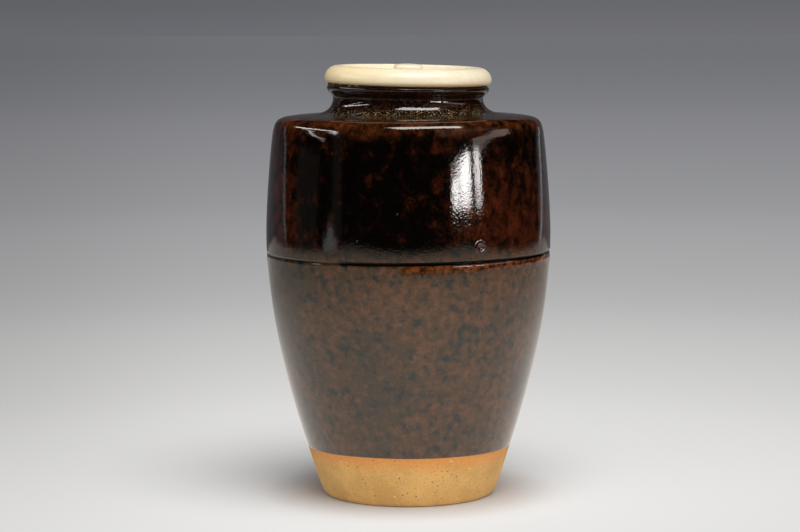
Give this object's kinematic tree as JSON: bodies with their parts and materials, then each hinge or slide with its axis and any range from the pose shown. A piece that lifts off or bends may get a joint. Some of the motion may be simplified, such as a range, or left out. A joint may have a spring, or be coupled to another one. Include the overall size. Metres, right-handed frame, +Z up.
{
  "type": "tea caddy",
  "caption": "High-shouldered turned stoneware tea caddy in dark iron glaze over a bare clay foot, with a lift-off ivory-coloured lid, button knob and gold-leafed lining.",
  "frame": {"origin": "centre of the flat base, on the surface the jar stands on", "axes": "+Z up along the axis everything is turned about; X and Y are alike"},
  "size_m": [0.062, 0.062, 0.0938],
  "materials": {
    "clay": "dry, fine-grained, unglazed buff stoneware",
    "glaze": "glossy black-brown iron glaze, rust and amber where it is thin",
    "ivory": "satin polished ivory-like material",
    "gold_leaf": "gold leaf on paper, softly wrinkled"
  },
  "bodies": {
    "jar": {"clay_body": "clay", "glaze_coat": "glaze"},
    "lid": {"lid_disc": "ivory", "lid_knob": "ivory", "gold_leaf_lining": "gold_leaf"}
  },
  "joints": [
    {"name": "lid_lift", "type": "slide", "parent": "jar", "child": "lid", "axis": [0, 0, 1], "range_m": [0, 0.06]}
  ]
}
